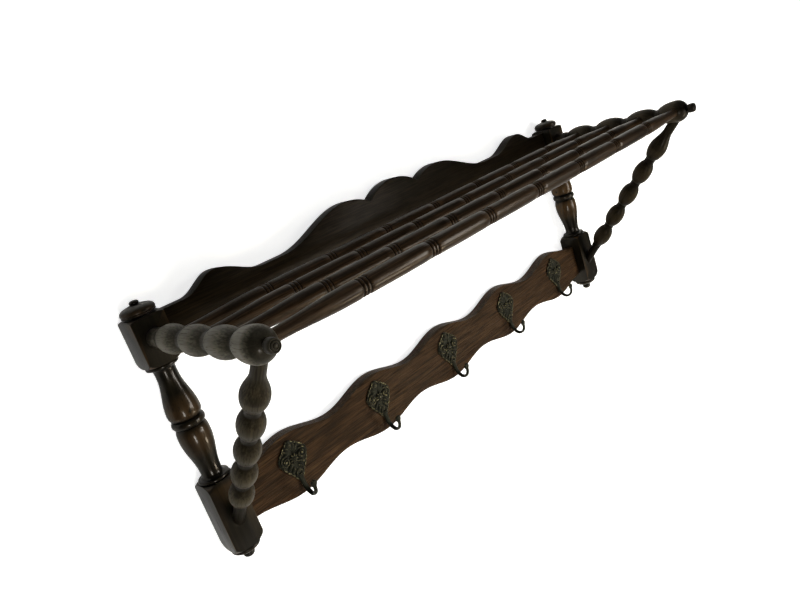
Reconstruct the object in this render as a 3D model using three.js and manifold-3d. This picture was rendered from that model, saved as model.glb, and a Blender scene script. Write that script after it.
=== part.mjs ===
// Wall coat rack of dark stained oak: two turned posts carry a lobed board above and a waved
// board with cast hooks below, and bobbin-turned arms and braces hold a shelf of round rails.
// Millimetres. +X is the viewer's right, +Z is up, the wall is the plane Y = 0 and the front
// faces -Y. The origin lies on the wall, midway between the two screws that the rack hangs on.

import * as THREE from 'three';
import { mergeVertices, toCreasedNormals } from 'three/addons/utils/BufferGeometryUtils.js';
import Module from 'manifold-3d';

const wasm = await Module();
wasm.setup();

// Layout. Heights are measured from the lower corners of the lower blocks.
const POST_SPACING = 954; // between the axes of the two posts
const BLOCK_SIDE = 46; // square stock of the posts
const LOWER_BLOCK_H = 85.3; // between the block's corner edges
const BALUSTER_H = 194.2; // from the lower block's corners to the upper block's
const UPPER_BLOCK_H = 53.9;
const GAP = 0.3; // glue line or clearance between any two pieces

// Turning of the posts
const STOCK_MARGIN = 0.7; // keeps the lathe's cut off the corners of the blocks
const CORNER_CUT = 0.02; // by which a rounded end starts outside the block's corner edges
const SHOULDER_R = 22.6; // where a rounded block end meets the turned part
const SHOULDER_H = 9; // height of the rounded ends beside the baluster
const FOOT_SHOULDER_H = 13.4; // of the lowest end
const CROWN_SHOULDER_H = 3.8; // of the uppermost end
const COLLAR_R = 22;
const COLLAR_H = 5;
const NECK_R = 14.4;
const BELLY_R = 22.8;
const RING_R = 22.9;
const RING_H = 12.4;
const RING_GROOVE_R = 18.9;
const RING_ABOVE_LOWER_BLOCK = 98.7; // to the middle of the ring
const UPPER_NECK_L = 14;
const LOWER_NECK_L = 8;
const UPPER_BELLY_FROM_RING = 9.6; // from the ring's edge to the widest point of the vase
const LOWER_BELLY_FROM_RING = 19;

// Finials, turned on the ends of the posts
const FINIAL_GROOVE_R = 19;
const FINIAL_GROOVE_H = 1.4;
const CROWN_DISC_R = 22.9;
const CROWN_DISC_H = 11;
const CROWN_SLOPE_H = 3.4;
const CROWN_BUTTON_R = 6.3;
const CROWN_BUTTON_H = 4.8;
const FOOT_DISC_R = 21.4;
const FOOT_DISC_H = 6;
const FOOT_SLOPE_H = 4.8;
const FOOT_BUTTON_R = 8.6;
const FOOT_BUTTON_H = 11;

// Arms
const ARM_REACH = 254.5; // from the block's face to the centre of the ball
const SHELF_RAILS = 4; // one in the ball, the others in the bobbins
const FIRST_BOBBIN = 55; // from the block's face to the first bobbin's centre
const ARM_ROOT_R = 12.8;
const ARM_NECK_R = 13.5;
const ARM_BOBBIN_R = 18.3;
const ARM_BOBBIN_L = 74; // of the whole ellipse, which the necks cut short
const BALL_R = 20;
const ARM_TENON_R = 9.5;
const ARM_TENON_L = 20;
const BUTTON_NECK_R = 5.8;
const BUTTON_R = 8.2;
const BUTTON_L = 13;
const BUTTON_CENTRE_R = 5;
const BUTTON_CENTRE_L = 1.6;

// Braces
const BRACE_FOOT_Z = 36.5; // height at which the brace's axis leaves the lower block's face
const BRACE_AIM_DROP = 8; // the axis passes this far under the centre of the ball
const BRACE_BOBBINS = 5;
const BRACE_BOBBIN_R = 16.8;
const BRACE_BOBBIN_L = 54; // of the whole ellipse
const BRACE_NECK_R = 10;
const BRACE_END_R = 8.6;
const BRACE_FOOT_RUN = 68.6; // from the block's face to the lowest bobbin's centre
const BRACE_HEAD_RUN = 71.6; // from the highest bobbin's centre to the aiming point
const BRACE_HEAD_TAPER = 39; // the highest bobbin is pear shaped
const BRACE_FOOT_TAPER = 34;
const BRACE_FOOT_TENON = 14; // depth in the block, along the brace
const BRACE_HEAD_STOP = 7; // the brace ends this far before the aiming point

// Shelf rails
const RAIL_R = 11.3; // beside a band
const RAIL_SWELL = 0.5; // halfway between two bands
const RAIL_END_R = 7.7;
const RAIL_END_FROM_AXIS = 10.5; // from the arm's axis to the rail's end
const RAIL_BANDS = 7;
const BAND_W = 19;
const BAND_GROOVES = 3;
const GROOVE_DEPTH = 1.7;
const RIDGE_DEPTH = 0.5;
const RAIL_LAST_BAND = 138; // from the last band's middle to the arm's axis
const RAIL_TAPER_START = 22; // from the last band's middle

// Boards
const BOARD_T = 22;
const BOARD_BACK = 6; // from the wall to the backs of the boards
const TENON_T = 12;
const TENON_L = 14;
const TENON_INSET = 8; // from the board's edges at its end
const HOOKS = 5;
const LOWER_BOARD_TOP = 80.7; // mean height of the waved edges
const LOWER_BOARD_BOTTOM = 0;
const TOP_WAVE = 9.5;
const BOTTOM_WAVE = 8.1;
const UPPER_BOARD_BOTTOM = 280;
const UPPER_DIP_Z = 329.8; // lowest stretches of the lobed edge
const UPPER_END_Z = 332.6; // beside the posts
const HUMP_Z = 353.2; // top of the outer humps
const SIDE_LOBE_Z = 365.6;
const CUSP_Z = 349.8; // where the lobes meet
const CENTRE_LOBE_Z = 370.8;
// Places along half of the lobed edge, as shares of the half length that they divide
const CUSP_AT = 0.13;
const SIDE_LOBE_AT = 0.248;
const SIDE_LOBE_END = 0.55;
const HUMP_START = 0.628;
const HUMP_AT = 0.8;
const HUMP_END = 0.915;

// Keyhole slots in the backs of the upper blocks
const HANG_ABOVE_CENTRE = 6.5; // the screw's seat above the middle of the block
const KEYHOLE_DROP = 14; // from the screw's seat to the entry hole
const KEYHOLE_HEAD_R = 5.5;
const KEYHOLE_POCKET_R = 5.1; // behind the lip, where the screw's head slides up
const KEYHOLE_SHANK_R = 2.6;
const KEYHOLE_LIP = 3.5;
const KEYHOLE_DEPTH = 9;

// Hooks. Heights are measured from the middle of the plate.
const HOOK_PLATE_Z = 50; // middle of the plate
const PLATE_T = 3;
const PLATE_TOP = 30.5;
const PLATE_HALF_W = 25.7;
const PLATE_BOTTOM = 33;
const PLATE_STEM_HALF_W = 4.8;
const RELIEF_SINK = 0.2; // by which the relief is sunk into the plate
const ROSETTE_R = 10;
const ROSETTE_RISE = 3.4;
const LEAF_L = 13;
const LEAF_W = 6;
const LEAF_RISE = 2.2;
const BAR_W = 7.4;
const BAR_T = 5;
const HOOK_DROP = 57; // from the plate's middle to the middle of the bar at its lowest point
const HOOK_REACH = 32; // from the board to the middle of the bar's tip
const HOOK_TIP_DROP = 36; // from the plate's middle to the bar's end
const TIP_HALF_W = 5.8;
const TIP_HALF_H = 6;
const TIP_HALF_T = 3;

// Screws of the hooks
const SCREW_TOP = 22.5; // above the plate's middle
const SCREW_BOTTOM = 19.5; // below it
const SCREW_HEAD_R = 3.3;
const SCREW_HEAD_H = 1.8;
const SCREW_SEAT_H = 9; // room over the head, cut into the plate's relief
const SCREW_SHANK_R = 1.7;
const SCREW_L = 16;
const SCREW_POINT_L = 4;

// Numbers of sides and steps of the curved surfaces
const POST_SIDES = 16; // a multiple of eight, so that a side edge meets each corner of the stock
const ARM_SIDES = 12;
const BRACE_SIDES = 10;
const RAIL_SIDES = 8;
const SCREW_SIDES = 8;
const BAR_SIDES = 6;
const KEYHOLE_SIDES = 10;

// Derived places
const HALF_SPACING = POST_SPACING / 2;
const HALF_BLOCK = BLOCK_SIDE / 2;
const HALF_CLEAR = HALF_SPACING - HALF_BLOCK; // half the width between the posts' blocks
const UPPER_BLOCK_Z = LOWER_BLOCK_H + BALUSTER_H; // its lower corners
const UPPER_BLOCK_TOP = UPPER_BLOCK_Z + UPPER_BLOCK_H;
const ARM_Z = UPPER_BLOCK_Z + UPPER_BLOCK_H / 2;
const HANG_Z = ARM_Z + HANG_ABOVE_CENTRE;
const BOBBIN_PITCH = (ARM_REACH - FIRST_BOBBIN) / (SHELF_RAILS - 1);
const BRACE_FORWARD = ARM_REACH;
const BRACE_RISE = ARM_Z - BRACE_AIM_DROP - BRACE_FOOT_Z;
const BRACE_LINE = Math.hypot(BRACE_FORWARD, BRACE_RISE); // from the block to the aiming point
const BRACE_TILT = Math.atan2(BRACE_FORWARD, BRACE_RISE); // from upright
const BRACE_PITCH = (BRACE_LINE - BRACE_FOOT_RUN - BRACE_HEAD_RUN) / (BRACE_BOBBINS - 1);
const HOOK_PITCH = (2 * HALF_CLEAR) / HOOKS;
const BOARD_FRONT = BOARD_BACK + BOARD_T;
const FORWARD = Math.PI / 2; // turned about X by this, local +Z points to the front and +Y up

// A closed three.js geometry as a solid that can be cut and joined
function solid(geometry) {
  const bare = geometry.clone();
  bare.deleteAttribute('normal');
  bare.deleteAttribute('uv');
  const merged = mergeVertices(bare);
  const index = merged.index.array;
  const triangles = [];
  for (let i = 0; i < index.length; i += 3) {
    const [a, b, c] = index.slice(i, i + 3);
    if (a !== b && b !== c && c !== a) {
      triangles.push(a, b, c);
    }
  }
  const vertProperties = Float32Array.from(merged.attributes.position.array);
  const triVerts = Uint32Array.from(triangles);
  return new wasm.Manifold(new wasm.Mesh({ numProp: 3, vertProperties, triVerts }));
}

// The solid as a three.js geometry, with its edges kept sharp
function geometryOf(body) {
  const mesh = body.getMesh();
  const geometry = new THREE.BufferGeometry();
  geometry.setAttribute('position', new THREE.BufferAttribute(mesh.vertProperties, 3));
  geometry.setIndex(new THREE.BufferAttribute(mesh.triVerts, 1));
  return toCreasedNormals(geometry, THREE.MathUtils.degToRad(32));
}

// Turned work: the profile is a list of [radius, height], from the bottom up, about the Z axis
function turned(profile, sides) {
  const points = profile.map(([radius, height]) => new THREE.Vector2(radius, height));
  return new THREE.LatheGeometry(points, sides).rotateX(Math.PI / 2);
}

// A box between two corners
function box(low, high) {
  const [x, y, z] = [0, 1, 2].map((i) => high[i] - low[i]);
  const middle = [0, 1, 2].map((i) => (low[i] + high[i]) / 2);
  return solid(new THREE.BoxGeometry(x, y, z).translate(...middle));
}

// A cylinder between two heights, along Z
function rod(radius, low, high, sides) {
  return turned([[0, low], [radius, low], [radius, high], [0, high]], sides);
}

// Half a cosine wave from one value to another, for t from 0 to 1
function ease(from, to, t) {
  return from + ((to - from) * (1 - Math.cos(Math.PI * t))) / 2;
}

// Points of half a cosine wave between two profile points, without the first one
function sweep([r0, z0], [r1, z1], steps) {
  const points = [];
  for (let i = 1; i <= steps; i += 1) {
    points.push([ease(r0, r1, i / steps), z0 + ((z1 - z0) * i) / steps]);
  }
  return points;
}

// Points of a quarter ellipse that leaves the first profile point along the axis
function round([r0, z0], [r1, z1], steps) {
  const points = [];
  for (let i = 1; i <= steps; i += 1) {
    const angle = ((Math.PI / 2) * i) / steps;
    points.push([r1 + (r0 - r1) * Math.cos(angle), z0 + (z1 - z0) * Math.sin(angle)]);
  }
  return points;
}

// Points of a bobbin: an ellipse about its middle that a neck cuts short at both ends
function bobbin(middle, radius, length, neck, steps) {
  const points = [];
  for (let i = -steps; i <= steps; i += 1) {
    const angle = (Math.acos(neck / radius) * i) / steps;
    points.push([radius * Math.cos(angle), middle + (length / 2) * Math.sin(angle)]);
  }
  return points;
}

// Half a baluster: collar, straight neck and vase, from the block's side to the ring's groove
function vase(collarEdge, ringEdge, neckLength, bellyFromRing) {
  const way = Math.sign(ringEdge - collarEdge);
  const neckStart = collarEdge + way * (COLLAR_R - NECK_R) * 0.25;
  const neckEnd = collarEdge + way * neckLength;
  const belly = ringEdge - way * bellyFromRing;
  return [
    [COLLAR_R, collarEdge - way * COLLAR_H * 0.25],
    [COLLAR_R * 0.95, collarEdge],
    [NECK_R, neckStart],
    [NECK_R, neckEnd],
    ...sweep([NECK_R, neckEnd], [BELLY_R, belly], 5),
    ...round([BELLY_R, belly], [RING_GROOVE_R, ringEdge], 3),
  ];
}

// Profile of a whole post, with the stock's corners standing proud of the square blocks
function postProfile() {
  const corner = HALF_BLOCK * Math.SQRT2 + CORNER_CUT;
  const stock = corner + STOCK_MARGIN;
  const shoulder = (edge, height) => [
    [corner, edge],
    ...round([corner, edge], [SHOULDER_R, edge + height], 3),
  ];
  const lowerCollar = LOWER_BLOCK_H + SHOULDER_H;
  const upperCollar = UPPER_BLOCK_Z - SHOULDER_H;
  const ring = LOWER_BLOCK_H + RING_ABOVE_LOWER_BLOCK;
  const ringLow = ring - RING_H / 2;
  const ringHigh = ring + RING_H / 2;
  const footDisc = -FOOT_SHOULDER_H - FINIAL_GROOVE_H;
  const footSlope = footDisc - FOOT_DISC_H;
  const footButton = footSlope - FOOT_SLOPE_H;
  const crownDisc = UPPER_BLOCK_TOP + CROWN_SHOULDER_H + FINIAL_GROOVE_H;
  const crownSlope = crownDisc + CROWN_DISC_H;
  const crownButton = crownSlope + CROWN_SLOPE_H;
  const foot = [
    [0, footButton - FOOT_BUTTON_H],
    [FOOT_BUTTON_R * 0.6, footButton - FOOT_BUTTON_H * 0.92],
    [FOOT_BUTTON_R * 0.93, footButton - FOOT_BUTTON_H * 0.68],
    [FOOT_BUTTON_R, footButton - FOOT_BUTTON_H * 0.4],
    [FOOT_BUTTON_R * 0.75, footButton - FOOT_BUTTON_H * 0.08],
    [FOOT_BUTTON_R * 1.25, footButton],
    [FOOT_DISC_R * 0.93, footSlope],
    [FOOT_DISC_R, footSlope + FOOT_DISC_H * 0.4],
    [FOOT_DISC_R * 0.96, footDisc],
    [FINIAL_GROOVE_R, footDisc + FINIAL_GROOVE_H * 0.5],
  ];
  const crown = [
    [FINIAL_GROOVE_R, crownDisc - FINIAL_GROOVE_H * 0.5],
    [FINIAL_GROOVE_R, crownDisc],
    [CROWN_DISC_R * 0.97, crownDisc + CROWN_DISC_H * 0.12],
    [CROWN_DISC_R, crownDisc + CROWN_DISC_H * 0.4],
    [CROWN_DISC_R * 0.95, crownDisc + CROWN_DISC_H * 0.72],
    [CROWN_DISC_R * 0.79, crownSlope],
    [CROWN_DISC_R * 0.48, crownSlope + CROWN_SLOPE_H * 0.64],
    [CROWN_BUTTON_R * 0.86, crownButton],
    [CROWN_BUTTON_R, crownButton + CROWN_BUTTON_H * 0.36],
    [CROWN_BUTTON_R * 0.75, crownButton + CROWN_BUTTON_H * 0.8],
    [0, crownButton + CROWN_BUTTON_H],
  ];
  const collarBase = (edge, way) => [COLLAR_R * 0.95, edge + way * COLLAR_H * 0.05];
  const upperVase = vase(upperCollar - COLLAR_H, ringHigh, UPPER_NECK_L, UPPER_BELLY_FROM_RING);
  return [
    ...foot,
    ...shoulder(0, -FOOT_SHOULDER_H).reverse(),
    [stock, 0],
    [stock, LOWER_BLOCK_H],
    ...shoulder(LOWER_BLOCK_H, SHOULDER_H),
    collarBase(lowerCollar, 1),
    [COLLAR_R, lowerCollar + COLLAR_H * 0.25],
    ...vase(lowerCollar + COLLAR_H, ringLow, LOWER_NECK_L, LOWER_BELLY_FROM_RING),
    [RING_R * 0.93, ringLow + RING_H * 0.16],
    [RING_R, ringLow + RING_H * 0.4],
    [RING_R, ringHigh - RING_H * 0.4],
    [RING_R * 0.93, ringHigh - RING_H * 0.16],
    ...upperVase.reverse(),
    [COLLAR_R, upperCollar - COLLAR_H * 0.25],
    collarBase(upperCollar, -1),
    ...shoulder(UPPER_BLOCK_Z, -SHOULDER_H).reverse(),
    [stock, UPPER_BLOCK_Z],
    [stock, UPPER_BLOCK_TOP],
    ...shoulder(UPPER_BLOCK_TOP, CROWN_SHOULDER_H),
    ...crown,
  ];
}

// A post: the turned shape kept within the square stock, bored and mortised
function post(side) {
  const profile = postProfile();
  const [bottom, top] = [profile[0][1] - 1, profile[profile.length - 1][1] + 1];
  const stock = box([-HALF_BLOCK, -HALF_BLOCK, bottom], [HALF_BLOCK, HALF_BLOCK, top]);
  const inner = -side * HALF_BLOCK; // the face towards the boards
  const mortise = (low, high) => {
    const deep = inner + side * (TENON_L + GAP);
    const [x0, x1] = [Math.min(deep, inner - side), Math.max(deep, inner - side)];
    const middle = HALF_BLOCK - BOARD_BACK - BOARD_T / 2;
    const half = TENON_T / 2 + GAP;
    return box([x0, middle - half, low - GAP], [x1, middle + half, high + GAP]);
  };
  const toFront = (geometry) => geometry.rotateX(FORWARD).translate(0, -HALF_BLOCK, 0);
  const armHole = toFront(rod(ARM_TENON_R + GAP, -ARM_TENON_L - GAP, 1, ARM_SIDES));
  const braceHole = rod(BRACE_END_R + GAP, -BRACE_FOOT_TENON - GAP, BLOCK_SIDE, BRACE_SIDES)
    .rotateX(BRACE_TILT)
    .translate(0, -HALF_BLOCK, BRACE_FOOT_Z);
  let body = solid(turned(profile, POST_SIDES)).intersect(stock);
  for (const cutter of [
    mortise(...tenonRange(lowerEdges)),
    mortise(...tenonRange(upperEdges)),
    solid(armHole.translate(0, 0, ARM_Z)),
    solid(braceHole),
    ...keyhole(),
  ]) {
    body = body.subtract(cutter);
  }
  return geometryOf(body);
}

// The cutters of a keyhole slot: an entry hole, a slot above it and a wider pocket behind the lip
function keyhole() {
  const entry = HANG_Z - KEYHOLE_DROP;
  const intoBack = (geometry, z) => {
    geometry.rotateX(FORWARD).translate(0, HALF_BLOCK, z);
    return solid(geometry);
  };
  const bore = (radius, low, high, z) => intoBack(rod(radius, low, high, KEYHOLE_SIDES), z);
  const slot = (half, low, high) => {
    const length = HANG_Z - entry;
    const block = new THREE.BoxGeometry(2 * half, length, high - low);
    return intoBack(block.translate(0, length / 2, (low + high) / 2), entry);
  };
  return [
    bore(KEYHOLE_HEAD_R, -1, KEYHOLE_DEPTH, entry),
    bore(KEYHOLE_SHANK_R, -1, KEYHOLE_DEPTH, HANG_Z),
    slot(KEYHOLE_SHANK_R, -1, KEYHOLE_DEPTH),
    bore(KEYHOLE_POCKET_R, KEYHOLE_LIP, KEYHOLE_DEPTH, HANG_Z),
    slot(KEYHOLE_POCKET_R, KEYHOLE_LIP, KEYHOLE_DEPTH),
  ];
}

// Heights of the lower board's waved edges; both waves are in step with the hooks
function lowerEdges(x) {
  const wave = Math.cos((2 * Math.PI * (x + ((HOOKS - 1) / 2) * HOOK_PITCH)) / HOOK_PITCH);
  return [LOWER_BOARD_BOTTOM - BOTTOM_WAVE * wave, LOWER_BOARD_TOP + TOP_WAVE * wave];
}

// Height of an arc that stands between a low end and its top
function arch(x, low, high, lowZ, highZ) {
  const [span, rise] = [high - low, highZ - lowZ];
  const radius = (span * span + rise * rise) / (2 * rise);
  return highZ - radius + Math.sqrt(radius * radius - (x - high) ** 2);
}

// Heights of the upper board's edges: straight below, lobes, dips and outer humps above
function upperEdges(x) {
  const at = Math.abs(x) / HALF_CLEAR;
  const along = (share) => share * HALF_CLEAR;
  const between = (start, end, z0, z1) => ease(z0, z1, (at - start) / (end - start));
  let top;
  if (at < CUSP_AT) {
    top = arch(Math.abs(x), along(CUSP_AT), 0, CUSP_Z, CENTRE_LOBE_Z);
  } else if (at < SIDE_LOBE_AT) {
    top = arch(Math.abs(x), along(CUSP_AT), along(SIDE_LOBE_AT), CUSP_Z, SIDE_LOBE_Z);
  } else if (at < SIDE_LOBE_END) {
    top = between(SIDE_LOBE_AT, SIDE_LOBE_END, SIDE_LOBE_Z, UPPER_DIP_Z);
  } else if (at < HUMP_START) {
    top = UPPER_DIP_Z;
  } else if (at < HUMP_AT) {
    top = between(HUMP_START, HUMP_AT, UPPER_DIP_Z, HUMP_Z);
  } else if (at < HUMP_END) {
    top = between(HUMP_AT, HUMP_END, HUMP_Z, UPPER_END_Z);
  } else {
    top = UPPER_END_Z;
  }
  return [UPPER_BOARD_BOTTOM, top];
}

// The tenon's lower and upper side at the end of a board
function tenonRange(edges) {
  const [low, high] = edges(HALF_CLEAR);
  return [low + TENON_INSET, high - TENON_INSET];
}

// Half the upper edge's shares at which its outline needs a point
function upperShares() {
  const shares = [];
  const stretch = (start, end, steps) => {
    for (let i = 0; i < steps; i += 1) {
      shares.push(start + ((end - start) * i) / steps);
    }
  };
  stretch(0, CUSP_AT, 4);
  stretch(CUSP_AT, SIDE_LOBE_AT, 4);
  stretch(SIDE_LOBE_AT, SIDE_LOBE_END, 8);
  stretch(SIDE_LOBE_END, HUMP_START, 1);
  stretch(HUMP_START, HUMP_AT, 6);
  stretch(HUMP_AT, HUMP_END, 5);
  shares.push(HUMP_END);
  return shares;
}

// A board sawn to its outline, with a stub tenon at each end and pilot holes for screws
function board(edges, places, bottomPlaces, holes) {
  const end = HALF_CLEAR - GAP;
  const outline = new THREE.Shape();
  const bottom = [-end, ...bottomPlaces, end];
  bottom.forEach((x, i) => outline[i ? 'lineTo' : 'moveTo'](x, edges(x)[0]));
  for (const x of [end, ...[...places].reverse(), -end]) {
    outline.lineTo(x, edges(x)[1]);
  }
  const plank = new THREE.ExtrudeGeometry(outline, { depth: BOARD_T, bevelEnabled: false });
  const [low, high] = tenonRange(edges);
  const reach = HALF_CLEAR + TENON_L;
  const [back, front] = [(BOARD_T - TENON_T) / 2, (BOARD_T + TENON_T) / 2];
  let body = solid(plank)
    .add(box([-reach, low, back], [-end + TENON_L, high, front]))
    .add(box([end - TENON_L, low, back], [reach, high, front]));
  for (const [x, y] of holes) {
    const depth = SCREW_L - PLATE_T;
    const hole = rod(SCREW_SHANK_R + GAP, BOARD_T - depth, BOARD_T + 1, SCREW_SIDES);
    body = body.subtract(solid(hole.translate(x, y, 0)));
  }
  return geometryOf(body);
}

// Places along the boards' edges that need a point
function wavePlaces() {
  const steps = 10 * HOOKS;
  const inside = Array.from({ length: steps - 1 }, (_, i) => (i + 1) / steps);
  return inside.map((share) => (2 * share - 1) * HALF_CLEAR);
}

function lobePlaces() {
  const right = upperShares().map((share) => share * HALF_CLEAR);
  const left = right.slice(1).map((x) => -x);
  return [...left.reverse(), ...right];
}

// Middles of the hooks, and of the screws that fix them, on the front of the lower board
const hookPlaces = Array.from({ length: HOOKS }, (_, i) => (i - (HOOKS - 1) / 2) * HOOK_PITCH);
const screwHeights = [HOOK_PLATE_Z + SCREW_TOP, HOOK_PLATE_Z - SCREW_BOTTOM];
const screwPlaces = hookPlaces.flatMap((x) => screwHeights.map((z) => [x, z]));

// An arm along +Z from the block's face: tenon, bobbins, ball and ringed button, with sockets
function arm(side) {
  const middles = Array.from({ length: SHELF_RAILS - 1 }, (_, i) => FIRST_BOBBIN + i * BOBBIN_PITCH);
  const profile = [
    [0, -ARM_TENON_L],
    [ARM_TENON_R, -ARM_TENON_L],
    [ARM_TENON_R, GAP],
    [ARM_ROOT_R, GAP],
    ...middles.flatMap((middle) => bobbin(middle, ARM_BOBBIN_R, ARM_BOBBIN_L, ARM_NECK_R, 3)),
    [ARM_NECK_R, ARM_REACH - BOBBIN_PITCH / 2],
  ];
  const ballFront = ARM_REACH + Math.sqrt(BALL_R ** 2 - BUTTON_NECK_R ** 2);
  const tip = ballFront + BUTTON_L;
  profile.push(...sweep([ARM_NECK_R, ARM_REACH - BOBBIN_PITCH / 2], [BALL_R, ARM_REACH], 4));
  const cap = Math.acos(BUTTON_NECK_R / BALL_R);
  for (let i = 1; i <= 4; i += 1) {
    const angle = (cap * i) / 4;
    profile.push([BALL_R * Math.cos(angle), ARM_REACH + BALL_R * Math.sin(angle)]);
  }
  profile.push(
    [BUTTON_NECK_R, ballFront + BUTTON_L * 0.1],
    [BUTTON_R * 0.92, ballFront + BUTTON_L * 0.18],
    [BUTTON_R, ballFront + BUTTON_L * 0.36],
    [BUTTON_R, ballFront + BUTTON_L * 0.8],
    [BUTTON_R * 0.86, tip],
    [BUTTON_CENTRE_R * 1.12, tip - BUTTON_CENTRE_L * 0.4],
    [BUTTON_CENTRE_R, tip + BUTTON_CENTRE_L * 0.4],
    [BUTTON_CENTRE_R * 0.6, tip + BUTTON_CENTRE_L],
    [0, tip + BUTTON_CENTRE_L],
  );
  let body = solid(turned(profile, ARM_SIDES));
  for (const middle of [...middles, ARM_REACH]) {
    const socket = rod(RAIL_END_R + GAP, RAIL_END_FROM_AXIS - GAP, 2 * BALL_R, RAIL_SIDES);
    body = body.subtract(solid(socket.rotateY((-side * Math.PI) / 2).translate(0, 0, middle)));
  }
  // The brace's socket: in this frame the front is +Z and up is +Y
  const low = -BRACE_HEAD_RUN / 2;
  const socket = rod(BRACE_END_R + GAP, low, -BRACE_HEAD_STOP + GAP, BRACE_SIDES);
  socket.rotateX(BRACE_TILT - FORWARD).translate(0, -BRACE_AIM_DROP, ARM_REACH);
  return geometryOf(body.subtract(solid(socket)));
}

// A brace along +Z from the lower block's face to its end in the ball
function brace() {
  const end = BRACE_LINE - BRACE_HEAD_STOP;
  const middles = Array.from({ length: BRACE_BOBBINS }, (_, i) => BRACE_FOOT_RUN + i * BRACE_PITCH);
  const last = middles[middles.length - 1];
  const bobbins = middles.flatMap((middle) =>
    bobbin(middle, BRACE_BOBBIN_R, BRACE_BOBBIN_L, BRACE_NECK_R, 3),
  );
  const profile = [
    [0, -BRACE_FOOT_TENON],
    [BRACE_END_R, -BRACE_FOOT_TENON],
    [BRACE_END_R, BRACE_FOOT_RUN - BRACE_FOOT_TAPER],
    ...bobbins.filter(([, z]) => z <= last),
    ...sweep([BRACE_BOBBIN_R, last], [BRACE_END_R, last + BRACE_HEAD_TAPER], 3),
    [BRACE_END_R, end],
    [0, end],
  ];
  return geometryOf(solid(turned(profile, BRACE_SIDES)));
}

// A shelf rail along +Z about its middle, with bands of turned grooves and tapered ends
function rail() {
  const lastBand = HALF_SPACING - RAIL_LAST_BAND;
  const pitch = (2 * lastBand) / (RAIL_BANDS - 1);
  const end = HALF_SPACING - RAIL_END_FROM_AXIS;
  const taperStart = lastBand + RAIL_TAPER_START;
  const mouth = HALF_SPACING - ARM_BOBBIN_R - GAP;
  const profile = [[0, -end], [RAIL_END_R, -end], [RAIL_END_R, -mouth]];
  profile.push(...sweep([RAIL_END_R, -mouth], [RAIL_R, -taperStart], 3));
  for (let band = 0; band < RAIL_BANDS; band += 1) {
    const middle = band * pitch - lastBand;
    if (band > 0) profile.push([RAIL_R + RAIL_SWELL, middle - pitch / 2]);
    profile.push([RAIL_R, middle - BAND_W / 2]);
    const steps = 2 * BAND_GROOVES;
    for (let i = 1; i < steps; i += 1) {
      const depth = i % 2 ? GROOVE_DEPTH : RIDGE_DEPTH;
      profile.push([RAIL_R - depth, middle - BAND_W / 2 + (BAND_W * i) / steps]);
    }
    profile.push([RAIL_R, middle + BAND_W / 2]);
  }
  profile.push([RAIL_R, taperStart]);
  profile.push(...sweep([RAIL_R, taperStart], [RAIL_END_R, mouth], 3), [RAIL_END_R, end], [0, end]);
  return geometryOf(solid(turned(profile, RAIL_SIDES)));
}

// Scalloped outline of a hook's plate: a pointed top, lobes down each side, a tapered stem
function plateOutline() {
  const corners = [
    [0, PLATE_TOP],
    [PLATE_HALF_W * 0.32, PLATE_TOP * 0.81],
    [PLATE_HALF_W * 0.62, PLATE_TOP * 0.62],
    [PLATE_HALF_W * 0.86, PLATE_TOP * 0.42],
    [PLATE_HALF_W, PLATE_TOP * 0.14],
    [PLATE_HALF_W * 0.88, -PLATE_BOTTOM * 0.13],
    [PLATE_HALF_W * 0.7, -PLATE_BOTTOM * 0.38],
    [PLATE_HALF_W * 0.48, -PLATE_BOTTOM * 0.61],
    [PLATE_HALF_W * 0.3, -PLATE_BOTTOM * 0.81],
    [PLATE_STEM_HALF_W, -PLATE_BOTTOM],
  ];
  const lobes = corners.slice(1).map(([x, y], i) => {
    const [px, py] = corners[i];
    const length = Math.hypot(x - px, y - py);
    const out = length * 0.3;
    const control = [(x + px) / 2 + ((py - y) / length) * out, (y + py) / 2 + ((x - px) / length) * out];
    return new THREE.QuadraticBezierCurve(
      new THREE.Vector2(px, py),
      new THREE.Vector2(...control),
      new THREE.Vector2(x, y),
    );
  });
  const right = lobes.flatMap((lobe) => lobe.getPoints(2).slice(0, -1));
  right.push(new THREE.Vector2(...corners[corners.length - 1]));
  const left = right.slice(1).map((point) => new THREE.Vector2(-point.x, point.y));
  return new THREE.Shape([...right, ...left.reverse()]);
}

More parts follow.
